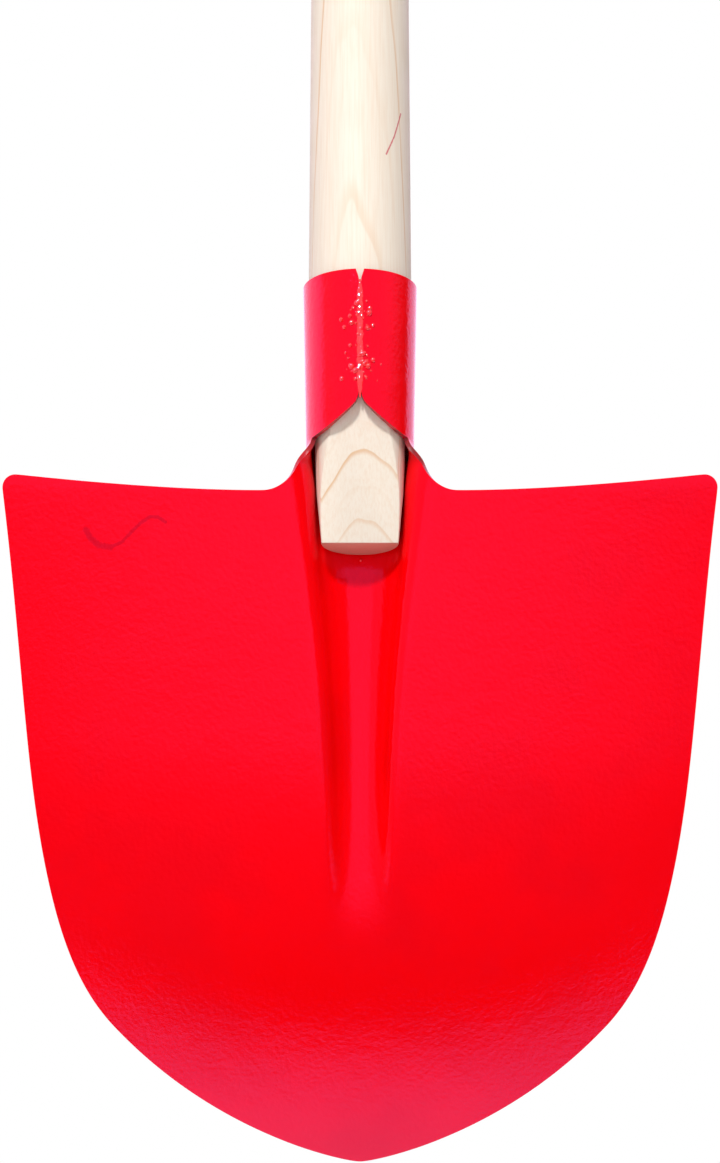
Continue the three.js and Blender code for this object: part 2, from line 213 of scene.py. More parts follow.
def handle_stations():
    """Depth below the rim and radius, down the handle's lower end."""
    h = handle()
    return [
        (-SWELL_LENGTH, h.shaft),
        (-SWELL_LENGTH / 2, h.swell),
        (0, h.mouth),
        (GRIP_DEPTH, bore_radius(GRIP_DEPTH)),
        (WAIST_DEPTH, h.waist),
        (TAPER_DEPTH, h.taper),
        (INSERT_DEPTH, h.end),
    ]


def handle_radius(depth):
    """The handle's radius at a depth below the rim."""
    stations = handle_stations()
    below = next((i for i, (d, _) in enumerate(stations) if d >= depth), len(stations) - 1)
    (d0, r0), (d1, r1) = stations[max(below, 1) - 1], stations[max(below, 1)]
    return lerp(r0, r1, (depth - d0) / (d1 - d0))


def socket_radius(depth):
    """Radius of the middle of the socket's sheet."""
    return (bore_radius(depth) + GAP) / FLAT_SHARE + head().sheet / 2


def down():
    """Direction down the flat upper blade."""
    return Vector((0, math.sin(head().lift), -math.cos(head().lift)))


def forward():
    """Direction square to the upper blade, to its hollow front."""
    return Vector((0, math.cos(head().lift), math.sin(head().lift)))


def axis_point(depth):
    """A point on the handle's axis."""
    return Vector((0, 0, RIM_Z - depth))


def blade_origin():
    """The middle of the shoulder line, in the plane of the upper blade."""
    return axis_point(SHOULDER_DEPTH) - forward() * AXIS_DEPTH


def section_point(a, bottom, turn, bend):
    """(across, rise) at arc length a: a bottom arc, then a flank that levels out if it bends outwards."""
    arc = min(a, bottom * turn)
    x = bottom * math.sin(arc / bottom)
    rise = bottom * (1 - math.cos(arc / bottom))
    if a <= arc:
        return x, rise
    flank = min(a - arc, -turn / bend) if bend < 0 else a - arc
    end = turn + bend * flank
    x += (math.sin(end) - math.sin(turn)) / bend
    rise += (math.cos(turn) - math.cos(end)) / bend
    return x + a - arc - flank, rise


def blended_max(a, b):
    """The larger of two depths, with a rounded change from one to the other."""
    return (a + b + math.hypot(a - b, 2 * FROG_SOFTNESS)) / 2


def frog_section(u):
    """The frog's section at u below the shoulder line."""
    h = head()
    along = min(max((u - FOOT_START) / (FOOT_END - FOOT_START), -1), 1)
    foot = lerp(h.foot_depth, dish(0, FOOT_END), along) - dish(0, u)
    neck = lerp(h.frog_depth, h.foot_depth, u / FOOT_START)
    depth = blended_max(blended_max(foot, neck), 0)
    width = lerp(h.frog_width, h.foot_width, u / FOOT_START)
    if u >= FOOT_START:
        width = lerp(FOOT_END_WIDTH, h.foot_width, (1 - along) ** 2.4)
    turn = 2 * math.atan(max(depth, 1e-6) / width)
    radii = width / math.sin(turn)
    bottom = radii * lerp(FROG_BOTTOM_SHARE, FOOT_BOTTOM_SHARE, min(max(u / FOOT_START, 0), 1))
    return {
        "depth": depth,
        "width": width,
        "length": radii * turn,
        "curve": (bottom, turn, -1 / (radii - bottom)),
    }


def dish(x, u):
    """How far the blade bows and curls forwards."""
    below = max(0, u - CURL_START)
    curl = CURL_RADIUS - math.sqrt(CURL_RADIUS**2 - below**2)
    bow = lerp(1 / SHOULDER_CROSS_RADIUS, 1 / POINT_CROSS_RADIUS, min(max(u / CROSS_BLEND, 0), 1))
    return curl + bow * x * x / 2


def blade_point(x, u):
    """A point of the blade, from its place in the plan: x across, u down from the shoulder line."""
    frog = frog_section(u)
    depth = 0
    if abs(x) < frog["width"]:
        across, rise = section_point(abs(x) / frog["width"] * frog["length"], *frog["curve"])
        x = math.copysign(across, x)
        depth = frog["depth"] - rise
    point = blade_origin() + down() * u + forward() * (depth + dish(x, u))
    point.x = x
    return point


def neck_section(k):
    """A section of the open neck, a share k of the way from the waist to the shoulder line."""
    waist = socket_radius(WAIST_DEPTH)
    last = frog_section(0)
    last_bottom, last_turn, _ = last["curve"]
    lift = head().lift
    depth = lerp(WAIST_DEPTH, SHOULDER_DEPTH, k)
    axis_depth = AXIS_DEPTH + (SHOULDER_DEPTH - depth) * math.sin(lift)
    floor = lerp(waist, last["depth"] - AXIS_DEPTH, k)
    turn = lerp(math.pi / 2, last_turn, k)
    bottom = lerp(waist, last_bottom, k)
    fold = (axis_depth / math.cos(lift * (1 - k)) + floor) / (1 - math.cos(turn)) - bottom
    bend = lerp(1 / waist, -1 / fold, smooth(k / FLARE_SHARE))
    widest = last["length"] - last_bottom * last_turn + NECK_HALF_WIDTH - last["width"]
    flare = lerp(WAIST_FLANK, widest, 1 - math.sqrt(max(0, 1 - k * k)))
    return {
        "depth": depth,
        "tilt": lift * k,
        "floor": floor,
        "curve": (bottom, turn, bend),
        "edge": bottom * turn + flare,
        "bow": k,
    }


def socket_section(depth, opening, edge=None):
    """A section of the closed socket, whose edge stops short of the seam."""
    bottom = socket_radius(depth)
    return {
        "depth": depth,
        "tilt": 0,
        "floor": bottom,
        "curve": (bottom, math.pi / 2, 1 / bottom),
        "edge": math.pi * bottom - opening / 2 if edge is None else edge,
        "bow": 0,
    }


def section_place(section, share):
    """A point a share of the way from the middle of a section to its edge."""
    x, rise = section_point(section["edge"] * share, *section["curve"])
    across = Vector((0, math.cos(section["tilt"]), math.sin(section["tilt"])))
    ahead = section["floor"] - rise + section["bow"] * dish(x, 0)
    point = axis_point(section["depth"]) + across * ahead
    point.x = x
    return point


# ---- The sheet, as a grid that is pressed ----

CENTRE_COLUMNS = 20  # from the middle to the neck's edge, on each side
WING_COLUMNS = 14
CORNER_STEPS = 4
NOTCH_ROWS = 3
TUBE_ROWS = 6
V_ROWS = 9
NECK_ROWS = 14
CORNER_ANGLES = (-1.67, -0.78, 0.12)  # start, middle and end of a corner's arc
CHEEK = (0.3572, 0.78)  # where the point begins, as shares of the width and the length
SIDE_HANDLES = ((0.4625, 0.323), (0.4706, 0.646))
POINT_HANDLES = ((0.2079, 0.9573), (0.0188, 1))


def upper_sections():
    """Sections of the socket and the neck, from the rim to just above the shoulder line."""
    sections = []
    for i in range(NOTCH_ROWS):
        t = i / NOTCH_ROWS
        sections.append(socket_section(NOTCH_DEPTH * t, lerp(NOTCH_WIDTH, SEAM_GAP, t)))
    for i in range(TUBE_ROWS):
        sections.append(socket_section(lerp(NOTCH_DEPTH, SEAM_DEPTH, i / TUBE_ROWS), SEAM_GAP))
    apex = socket_section(SEAM_DEPTH, SEAM_GAP)["edge"]
    waist = neck_section(0)["edge"]
    for i in range(V_ROWS):
        left = 1 - i / V_ROWS
        edge = lerp(waist, apex, left**1.1)
        sections.append(socket_section(lerp(WAIST_DEPTH, SEAM_DEPTH, left * left), 0, edge))
    for i in range(NECK_ROWS):
        sections.append(neck_section(math.sin(math.pi / 2 * i / NECK_ROWS)))
    return sections


def corner_point(angle):
    """A point on the arc of the blade's corner, in the plan."""
    h = head()
    centre = Vector((h.width / 2 - h.corner, h.corner - h.rise))
    return centre + Vector((math.cos(angle), math.sin(angle))) * h.corner


def corner_points(start, end):
    """Points along part of a corner's arc, without its first."""
    return [corner_point(lerp(start, end, (i + 1) / CORNER_STEPS)) for i in range(CORNER_STEPS)]


def shares(line):
    """Shares of the way along a line of points, by length."""
    total = [0]
    for a, b in zip(line, line[1:]):
        total.append(total[-1] + (b - a).length)
    return [t / total[-1] for t in total]


def along(line, t):
    """The point a share t of the way along a line of points."""
    marks = shares(line)
    i = next((i for i, m in enumerate(marks[1:]) if m >= t), len(line) - 2)
    return line[i].lerp(line[i + 1], (t - marks[i]) / (marks[i + 1] - marks[i]))


def curve(a, b, c, d):
    """A finely divided Bezier curve in the plan."""
    return [Vector(p[:2]) for p in interpolate_bezier(a.to_3d(), b.to_3d(), c.to_3d(), d.to_3d(), 200)]


def in_plan(share):
    """A point in the plan, from shares of the blade's width and length."""
    return Vector((share[0] * head().width, share[1] * head().blade))


def top_line():
    """The half blade's upper edge, in the plan: the neck, a shoulder and half of its corner."""
    frog = frog_section(0)
    edge = neck_section(1)["edge"]
    line = []
    for i in range(CENTRE_COLUMNS):
        a = edge * i / CENTRE_COLUMNS
        x = a * frog["width"] / frog["length"] if a < frog["length"] else frog["width"] + a - frog["length"]
        line.append(Vector((x, 0)))
    start, end = Vector((NECK_HALF_WIDTH, 0)), corner_point(CORNER_ANGLES[0])
    bend = Vector((lerp(start.x, end.x, 0.4), 0))
    shoulder = curve(start, start.lerp(bend, 2 / 3), end.lerp(bend, 2 / 3), end)
    line += [along(shoulder, i / WING_COLUMNS) for i in range(WING_COLUMNS + 1)]
    return line + corner_points(*CORNER_ANGLES[:2])


def side_line():
    """The other half of the corner and the side, down to the cheek where the point begins."""
    line = [corner_point(CORNER_ANGLES[1])] + corner_points(*CORNER_ANGLES[1:])
    rows = head().rows
    side = curve(line[-1], in_plan(SIDE_HANDLES[0]), in_plan(SIDE_HANDLES[1]), in_plan(CHEEK))
    return line + [along(side, (i + 1) / rows) for i in range(rows)]


def blade_plan():
    """Rows of plan points between the upper edge, the middle line, the side and the point."""
    top, side = top_line(), side_line()
    f = [p.x / top[-1].x for p in top]
    g = shares(side)
    point = Vector((0, head().blade))
    tip = curve(point, in_plan(POINT_HANDLES[1]), in_plan(POINT_HANDLES[0]), in_plan(CHEEK))
    bottom = [along(tip, s) for s in f]
    rows = []
    for right, t in zip(side, g):
        middle = Vector((0, head().blade * t))
        row = []
        for s, above, below in zip(f, top, bottom):
            straight = above * (1 - t) + below * t + middle * (1 - s) + right * s
            corners = top[0].lerp(top[-1], s) * (1 - t) + bottom[0].lerp(bottom[-1], s) * t
            row.append(straight - corners)
        rows.append(row)
    return rows


def press_sheet(bm):
    """Lays out the blank as a grid, trims it to a T and presses every vertex into place."""
    sections, plan = upper_sections(), blade_plan()
    reach = len(plan[0]) - 1
    last_row = len(sections) + len(plan) - 1
    bmesh.ops.create_grid(bm, x_segments=2 * reach, y_segments=last_row, size=1)

    def cell(co):
        return (co.x + 1) * reach - reach, (1 - co.y) * last_row / 2

    waste = []
    for face in bm.faces:
        column, row = cell(face.calc_center_median())
        if row < len(sections) and abs(column) > CENTRE_COLUMNS:
            waste.append(face)
    bmesh.ops.delete(bm, geom=waste, context="FACES")
    for vert in bm.verts:
        column, row = (round(n) for n in cell(vert.co))
        if row < len(sections):
            vert.co = section_place(sections[row], abs(column) / CENTRE_COLUMNS)
        else:
            vert.co = blade_point(*plan[row - len(sections)][abs(column)])
        vert.co.x = math.copysign(vert.co.x, column)
    bm.normal_update()


# ---- Making pieces ----

def new_piece(name, bm, material, node, sharp=math.radians(35)):
    """Turns a bmesh into a piece that stands for a node and rides on the root body."""
    for face in bm.faces:
        face.smooth = True
    for edge in bm.edges:
        edge.smooth = len(edge.link_faces) != 2 or edge.calc_face_angle(0) < sharp
    mesh = bpy.data.meshes.new(name)
    bm.to_mesh(mesh)
    bm.free()
    piece = bpy.data.objects.new(name, mesh)
    bpy.context.scene.collection.objects.link(piece)
    mesh.materials.append(material)
    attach(piece, "root")
    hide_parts(node)
    return piece


def add_modifier(piece, kind, **values):
    """Adds a modifier with its values."""
    modifier = piece.modifiers.new(kind.title(), kind)
    for key, value in values.items():
        setattr(modifier, key, value)
    return modifier


# ---- Materials ----

class Nodes:
    """Short calls that add nodes to a node tree and link them."""

    def __init__(self, tree):
        self.tree = tree

    def add(self, kind, inputs=(), **values):
        """Adds a node. An input is a socket to link from, or a value; inputs go by name or by place."""
        node = self.tree.nodes.new(kind)
        for key, value in values.items():
            setattr(node, key, value)
        pairs = inputs.items() if isinstance(inputs, dict) else enumerate(inputs)
        for key, value in pairs:
            if isinstance(value, bpy.types.NodeSocket):
                self.tree.links.new(value, node.inputs[key])
            elif value is not None:
                node.inputs[key].default_value = value
        return node

    def math(self, operation, *inputs, clamp=False):
        """The result of a Math node."""
        return self.add("ShaderNodeMath", inputs, operation=operation, use_clamp=clamp).outputs[0]

    def vector(self, operation, *inputs):
        """The Vector Math node."""
        return self.add("ShaderNodeVectorMath", inputs, operation=operation)

    def ramp(self, value, start, end, low=0.0, high=1.0):
        """A value mapped smoothly from one range to another."""
        inputs = {"Value": value, "From Min": start, "From Max": end, "To Min": low, "To Max": high}
        return self.add("ShaderNodeMapRange", inputs, interpolation_type="SMOOTHSTEP").outputs["Result"]

    def mix(self, factor, a, b, blend="MIX"):
        """Two colours mixed."""
        node = self.add("ShaderNodeMix", data_type="RGBA", blend_type=blend)
        for socket, value in ((node.inputs[0], factor), (node.inputs[6], a), (node.inputs[7], b)):
            if isinstance(value, bpy.types.NodeSocket):
                self.tree.links.new(value, socket)
            else:
                socket.default_value = value
        return node.outputs[2]

    def noise(self, vector, scale, detail=2.0, roughness=0.5):
        """A noise value."""
        inputs = {"Vector": vector, "Scale": scale, "Detail": detail, "Roughness": roughness}
        return self.add("ShaderNodeTexNoise", inputs).outputs["Fac"]


def solid(rgb):
    """A colour with full alpha."""
    return (*rgb, 1)


def new_group(name, inputs, outputs):
    """An empty shader group: inputs are (name, socket kind, default), outputs are (name, socket kind)."""
    tree = bpy.data.node_groups.new(name, "ShaderNodeTree")
    for label, kind, default in inputs:
        tree.interface.new_socket(name=label, in_out="INPUT", socket_type=kind).default_value = default
    for label, kind in outputs:
        tree.interface.new_socket(name=label, in_out="OUTPUT", socket_type=kind)
    n = Nodes(tree)
    return n, n.add("NodeGroupInput").outputs, n.add("NodeGroupOutput").inputs


def stroke_group():
    """A mask along a straight stroke between two points, soft at its edge."""
    n, given, out = new_group(
        "Stroke",
        [
            ("Start", "NodeSocketVector", (0, 0, 0)),
            ("End", "NodeSocketVector", (0, 0, 1)),
            ("Width", "NodeSocketFloat", 0.001),
        ],
        [("Mask", "NodeSocketFloat")],
    )
    place = n.add("ShaderNodeTexCoord").outputs["Object"]
    line = n.vector("SUBTRACT", given["End"], given["Start"]).outputs[0]
    arm = n.vector("SUBTRACT", place, given["Start"]).outputs[0]
    dot = n.vector("DOT_PRODUCT", arm, line).outputs["Value"]
    square = n.vector("DOT_PRODUCT", line, line).outputs["Value"]
    share = n.math("DIVIDE", dot, square, clamp=True)
    foot = n.vector("SCALE", line)
    n.tree.links.new(share, foot.inputs["Scale"])
    away = n.vector("DISTANCE", arm, foot.outputs[0]).outputs["Value"]
    half = n.math("MULTIPLY", given["Width"], 0.5)
    ragged = n.math("ADD", away, n.math("MULTIPLY", n.noise(place, 900), half))
    n.tree.links.new(n.ramp(ragged, half, n.math("MULTIPLY", half, 2.2), 1, 0), out["Mask"])
    return n.tree


def uneven_group():
    """Slow and fine unevenness of a surface, for its gloss."""
    n, given, out = new_group(
        "Unevenness",
        [
            ("Scale", "NodeSocketFloat", 30),
            ("Low", "NodeSocketFloat", 0.2),
            ("High", "NodeSocketFloat", 0.3),
        ],
        [("Value", "NodeSocketFloat"), ("Slow", "NodeSocketFloat")],
    )
    place = n.add("ShaderNodeTexCoord").outputs["Object"]
    slow = n.noise(place, given["Scale"], 3)
    fine = n.noise(place, n.math("MULTIPLY", given["Scale"], 14), 2)
    both = n.math("ADD", n.math("MULTIPLY", slow, 0.7), n.math("MULTIPLY", fine, 0.3))
    n.tree.links.new(n.ramp(both, 0.35, 0.65, given["Low"], given["High"]), out["Value"])
    n.tree.links.new(slow, out["Slow"])
    return n.tree


def peel_group():
    """Orange peel: the height of a thick enamel's shallow dimples."""
    n, given, out = new_group(
        "Orange peel",
        [("Size", "NodeSocketFloat", 0.0016), ("Fine", "NodeSocketFloat", 0.35)],
        [("Height", "NodeSocketFloat")],
    )
    place = n.add("ShaderNodeTexCoord").outputs["Object"]
    scale = n.math("DIVIDE", 1.0, given["Size"])
    dimples = n.noise(place, scale, 1.5, 0.45)
    waves = n.noise(place, n.math("MULTIPLY", scale, 0.22), 1)
    fine = n.math("MULTIPLY", n.noise(place, n.math("MULTIPLY", scale, 3.5), 1), given["Fine"])
    total = n.math("ADD", n.math("ADD", dimples, fine), waves)
    n.tree.links.new(total, out["Height"])
    return n.tree


def shared_group(name, maker):
    """A group that is built the first time it is asked for."""
    return bpy.data.node_groups.get(name) or maker()


def place_group(n, name, maker, inputs):
    """A shared group's node, with its own values."""
    node = n.add("ShaderNodeGroup")
    node.node_tree = shared_group(name, maker)
    for key, value in inputs.items():
        node.inputs[key].default_value = value
    return node.outputs


def stroke_mask(n, points, width):
    """A mask along a line of points."""
    mask = None
    for start, end in zip(points, points[1:]):
        values = {"Start": start, "End": end, "Width": width}
        part = place_group(n, "Stroke", stroke_group, values)["Mask"]
        mask = part if mask is None else n.math("MAXIMUM", mask, part)
    return mask


def handle_surface(across, above):
    """A point on the back of the handle, above the socket's rim."""
    radius = handle_radius(-above)
    return Vector((across, -math.sqrt(radius**2 - across**2), RIM_Z + above))


def new_material(name):
    """A material with a Principled shader: (material, nodes, shader)."""
    material = bpy.data.materials.new(name)
    material.use_nodes = True
    material.node_tree.nodes.clear()
    n = Nodes(material.node_tree)
    shader = n.add("ShaderNodeBsdfPrincipled")
    output = n.add("ShaderNodeOutputMaterial")
    n.tree.links.new(shader.outputs[0], output.inputs["Surface"])
    return material, n, shader


def bump(n, shader, height, strength, distance):
    """Feeds a height to the shader's normal."""
    inputs = {"Height": height, "Strength": strength, "Distance": distance}
    n.tree.links.new(n.add("ShaderNodeBump", inputs).outputs["Normal"], shader.inputs["Normal"])


# The dull mark near a shoulder, in mm across, and down from the shoulder line.
MARK = (
    (-104.0, 15.0),
    (-102.2, 18.2),
    (-98.8, 21.0),
    (-94.6, 21.6),
    (-90.3, 19.6),
    (-86.4, 15.6),
    (-83.0, 12.2),
    (-79.4, 10.0),
    (-76.5, 10.2),
    (-73.8, 12.0),
)


PEEL_SIZE = 1.7 * MM
PEEL_HEIGHT = 0.1 * MM
MARK_WIDTH = 1.2 * MM
MARK_START_WIDTH = 2.2 * MM  # along its first three strokes


def enamel_material(name, tint, marked=False, pooled=False):
    """Thick red enamel with a tinted gloss. It may bear the mark, or pool to a second, harder gloss."""
    material, n, shader = new_material(name)
    shader.inputs["IOR"].default_value = 1.5
    shader.inputs["Specular Tint"].default_value = solid(tint)
    if pooled:
        shader.inputs["Coat Weight"].default_value = 1
        shader.inputs["Coat IOR"].default_value = 1.8
        shader.inputs["Coat Roughness"].default_value = 0.06
    uneven = place_group(n, "Unevenness", uneven_group, {"Scale": 22, "Low": 0.08, "High": 0.13})
    base = solid(finish().enamel)
    deep = solid(c * 0.93 for c in finish().enamel)
    tone = n.mix(n.ramp(uneven["Slow"], 0.4, 0.65), base, deep)
    rough = uneven["Value"]
    if marked:
        points = [blade_point(x * MM, u * MM) - forward() * head().sheet / 2 for x, u in MARK]
        whole, start = stroke_mask(n, points, MARK_WIDTH), stroke_mask(n, points[:4], MARK_START_WIDTH)
        mask = n.math("MAXIMUM", whole, start)
        tone = n.mix(n.math("MULTIPLY", mask, 0.65), tone, solid(finish().mark))
        rough = n.math("ADD", rough, n.math("MULTIPLY", mask, 0.08))
    n.tree.links.new(tone, shader.inputs["Base Color"])
    n.tree.links.new(rough, shader.inputs["Roughness"])
    peel = place_group(n, "Orange peel", peel_group, {"Size": PEEL_SIZE, "Fine": 0.3})
    bump(n, shader, peel["Height"], 1.0, PEEL_HEIGHT)
    return material


def cut_edge_material():
    """The cut edges, darker than the enamel: painted shade for a thin dark outline, with random darker
    patches.
    """
    material, n, shader = new_material("Dark cut edges, painted shade")
    uneven = place_group(n, "Unevenness", uneven_group, {"Scale": 160, "Low": 0.12, "High": 0.3})
    dark_patches = n.ramp(uneven["Slow"], 0.3, 0.7)
    # Painted shade: the edge colour, darker still in random patches, draws a dark outline along the sheet.
    tone = n.mix(dark_patches, solid(finish().edge), solid(c * 0.3 for c in finish().edge))
    n.tree.links.new(tone, shader.inputs["Base Color"])
    n.tree.links.new(uneven["Value"], shader.inputs["Roughness"])
    bump(n, shader, uneven["Slow"], 0.6, 0.1 * MM)
    return material


FLECK = (0.36, 0.2, 0.13)
SMEAR = (0.5, 0.02, 0.06)
SMEAR_WIDTH = 0.6 * MM
WARP = 3.2 * MM  # how far the rings wander
PITH = (1.2 * MM, 24 * MM)  # where the growth rings centre, across and in front of the axis
GRAIN_SLOPE = -0.032  # how the rings run out along the handle
RING_SEED = 861.0  # which growth rings are dark and which are faint
SCRATCH = ((15.9, 68.9), (13.4, 58.3), (10.2, 49.6))  # a smear of enamel: mm across, and above the rim


def wood_material():
    """Pale planed wood with growth rings, fine grain, a few flecks and a smear of red enamel."""
    material, n, shader = new_material("Bare wood")
    place = n.add("ShaderNodeTexCoord").outputs["Object"]
    parts = n.add("ShaderNodeSeparateXYZ", [place]).outputs
    stretched = n.vector("MULTIPLY", place, (1, 1, 0.12)).outputs[0]
    warp = n.math("MULTIPLY", n.math("SUBTRACT", n.noise(stretched, 60, 2), 0.5), WARP)
    above = n.math("SUBTRACT", parts["Z"], RIM_Z)
    x = n.math("SUBTRACT", parts["X"], PITH[0])
    y = n.math("ADD", n.math("SUBTRACT", PITH[1], parts["Y"]), n.math("MULTIPLY", above, GRAIN_SLOPE))
    flat = n.add("ShaderNodeCombineXYZ", [x, y, 0.0]).outputs[0]
    depth = n.math("ADD", n.vector("LENGTH", flat).outputs["Value"], warp)
    turns = n.math("DIVIDE", depth, handle().ring)
    year = n.math("FRACT", turns)
    late = n.math("MULTIPLY", n.ramp(year, 0.78, 0.95), n.ramp(year, 0.96, 1.0, 1, 0))
    number = n.math("ADD", n.math("FLOOR", turns), RING_SEED)
    chance = n.add("ShaderNodeTexWhiteNoise", {"W": number}, noise_dimensions="1D").outputs["Value"]
    patchy = n.noise(n.vector("MULTIPLY", place, (1, 1, 0.3)).outputs[0], 45, 1)
    strength = n.math("MULTIPLY", n.ramp(patchy, 0.3, 0.6, 0.4, 1), n.ramp(chance, 0.2, 0.8, 0.1, 0.85))
    fibre = n.noise(n.vector("MULTIPLY", place, (1, 1, 0.03)).outputs[0], 1500, 3, 0.6)
    tone = n.mix(n.math("MULTIPLY", late, strength), solid(finish().wood), solid(finish().late))
    tone = n.mix(n.ramp(fibre, 0.35, 0.75, 0, 0.22), tone, solid(finish().late))
    speckled = n.vector("MULTIPLY", place, (1, 1, 0.55)).outputs[0]
    spots = n.add("ShaderNodeTexVoronoi", {"Vector": speckled, "Scale": 75}).outputs
    chosen = n.add("ShaderNodeSeparateColor", [spots["Color"]]).outputs[0]
    fleck = n.math("MULTIPLY", n.ramp(spots["Distance"], 0.03, 0.07, 1, 0), n.ramp(chosen, 0.86, 0.88))
    tone = n.mix(n.math("MULTIPLY", fleck, 0.6), tone, solid(FLECK))
    # The sawn end faces down into the red frog. Its red-brown is partly darker end grain and partly painted
    # red bounce light and shade.
    facing = n.add("ShaderNodeSeparateXYZ", [n.add("ShaderNodeNewGeometry").outputs["Normal"]]).outputs
    sawn = n.ramp(facing["Z"], -0.95, -0.8, 1, 0)
    tone = n.mix(n.math("MULTIPLY", sawn, 0.85), tone, solid(finish().end))
    points = [handle_surface(across * MM, above_rim * MM) for across, above_rim in SCRATCH]
    smear = stroke_mask(n, points, SMEAR_WIDTH)
    tone = n.mix(n.math("MULTIPLY", smear, 0.8), tone, solid(SMEAR))
    n.tree.links.new(tone, shader.inputs["Base Color"])
    uneven = place_group(n, "Unevenness", uneven_group, {"Scale": 60, "Low": 0.55, "High": 0.72})
    n.tree.links.new(uneven["Value"], shader.inputs["Roughness"])
    bump(n, shader, n.math("SUBTRACT", fibre, n.math("MULTIPLY", late, 0.3)), 0.5, 0.08 * MM)
    return material


def zinc_material():
    """Bright zinc plate."""
    material, n, shader = new_material("Zinc plate")
    shader.inputs["Metallic"].default_value = 1
    uneven = place_group(n, "Unevenness", uneven_group, {"Scale": 400, "Low": 0.25, "High": 0.42})
    n.tree.links.new(uneven["Value"], shader.inputs["Roughness"])
    dull = solid(c * 0.72 for c in finish().zinc)
    n.tree.links.new(n.mix(uneven["Slow"], solid(finish().zinc), dull), shader.inputs["Base Color"])
    bump(n, shader, uneven["Slow"], 0.4, 0.05 * MM)
    return material


# ---- Pieces ----

class SHOVEL_OT_head(Operator):
    """Press the blade, frog and socket from one sheet"""

    bl_idname = "shovel.head"
    bl_label = "Blade and socket"

    def execute(self, context):
        bm = bmesh.new()
        press_sheet(bm)
        material = enamel_material("Red enamel", (1.0, 0.21, 0.95), marked=True)
        piece = new_piece("enamelled_head", bm, material, "blade_and_socket")
        sheet = head().sheet
        piece.data.materials.append(cut_edge_material())
        add_modifier(
            piece, "SOLIDIFY", thickness=sheet, offset=0, use_even_offset=True, material_offset_rim=1
        )
        add_modifier(piece, "BEVEL", width=0.28 * sheet, segments=2, limit_method="ANGLE", angle_limit=0.9)
        add_modifier(piece, "SUBSURF", levels=1, render_levels=1)
        return {"FINISHED"}


WELD_STEPS = 110
WELD_SIDES = 20
WELD_HALF_WIDTH = 1.1 * MM
WELD_CROWN = 0.24 * MM
SPATTERS = 80
SPATTER_PLACES = (16, 22, 31, 33, 38, 41, 43)  # where the drops gather, in mm below the rim
SPATTER_SPREAD = 3.8 * MM
STRAY_DROP = (0.2 * MM, 26.5 * MM)  # one more drop, in the frog below the handle's end
STRAY_RADIUS = 0.7 * MM


def seam_place(across, depth, height):
    """A point over the socket's outside, at an arc distance from the seam."""
    radius = socket_radius(depth) + head().sheet / 2
    angle = across / radius
    high = radius + height
    return Vector((high * math.sin(angle), -high * math.cos(angle), RIM_Z - depth))


def weld_bead(bm):
    """A closed bead with a rough, rippled crown, whose root fills the seam."""
    bmesh.ops.create_cone(bm, cap_ends=True, segments=WELD_SIDES, radius1=1, radius2=1, depth=1)
    uprights = [e for e in bm.edges if abs(e.verts[0].co.z - e.verts[1].co.z) > 0.5]
    bmesh.ops.subdivide_edges(bm, edges=uprights, cuts=WELD_STEPS, use_grid_fill=True)
    top, bottom = RIM_Z - WELD_HIGH.z, RIM_Z - WELD_LOW.z
    for vert in bm.verts:
        t = 0.5 - vert.co.z
        side, up = vert.co.x, vert.co.y
        depth = lerp(top, bottom, t)
        taper = min(1, 6 * min(t, 1 - t) + 0.25)
        coarse = noise.noise(Vector((side * 0.9, t * 46, 1.7)))
        rough = coarse + 0.6 * noise.noise(Vector((side * 2, t * 120, 9)))
        ripple = 0.6 + 0.4 * abs(math.sin(t * math.pi * 11 + 0.6 * side * side))
        waver = noise.noise(Vector((math.copysign(3, side), t * 24, 0)))
        half = WELD_HALF_WIDTH * taper * (1 + 0.25 * waver)
        if up > 0:
            height = WELD_CROWN * taper * up * (ripple + 0.9 * rough)
        else:
            height = up * head().sheet * 0.8
            half = min(half, SEAM_GAP / 2) if up < -0.3 else half
        vert.co = seam_place(side * half, depth, height)


def spatter(bm):
    """Small drops of weld spatter around the seam, under the enamel."""
    rng = random.Random(7)
    for _ in range(SPATTERS):
        depth = rng.gauss(rng.choice(SPATTER_PLACES), 2.2) * MM
        across = rng.gauss(0.6 * MM, SPATTER_SPREAD)
        size = lerp(0.25 * MM, 1.15 * MM, rng.random() ** 1.8)
        if abs(across) > 2.6 * SPATTER_SPREAD or not 6 * MM < depth < 49 * MM:
            continue
        centre = seam_place(across, depth, 0.1 * size)
        place = Matrix.Translation(centre) @ Matrix.Diagonal((1, 0.8, 1.1, 1))
        bmesh.ops.create_icosphere(bm, subdivisions=3, radius=size, matrix=place)
    stray = Matrix.Translation(blade_point(*STRAY_DROP) - forward() * head().sheet / 2)
    bmesh.ops.create_icosphere(bm, subdivisions=3, radius=STRAY_RADIUS, matrix=stray)


class SHOVEL_OT_weld(Operator):
    """Lay the weld along the socket's seam"""

    bl_idname = "shovel.weld"
    bl_label = "Seam weld"

    def execute(self, context):
        bm = bmesh.new()
        weld_bead(bm)
        spatter(bm)
        bmesh.ops.recalc_face_normals(bm, faces=bm.faces)
        material = enamel_material("Red enamel on weld", (1.0, 0.4, 0.9), pooled=True)
        new_piece("weld_bead", bm, material, "seam_weld", sharp=math.radians(70))
        return {"FINISHED"}


HANDLE_STEPS = 128
BUTT_CHAMFER = 3 * MM
SAWN_EDGE = 0.35 * MM


def spin_profile(bm, points, steps, axis, origin):
    """Spins a profile of (radius, place along the axis) into a closed shape."""
    side = Vector((1, 0, 0))
    verts = [bm.verts.new(origin + side * r + axis * h) for r, h in points]
    edges = [bm.edges.new(pair) for pair in zip(verts, verts[1:])]
    bmesh.ops.spin(
        bm,
        geom=verts + edges,
        cent=origin,
        axis=axis,
        angle=2 * math.pi,
        steps=steps,
        use_merge=True,
        use_duplicate=False,
    )
    bmesh.ops.remove_doubles(bm, verts=bm.verts, dist=1e-6)
    bmesh.ops.recalc_face_normals(bm, faces=bm.faces)


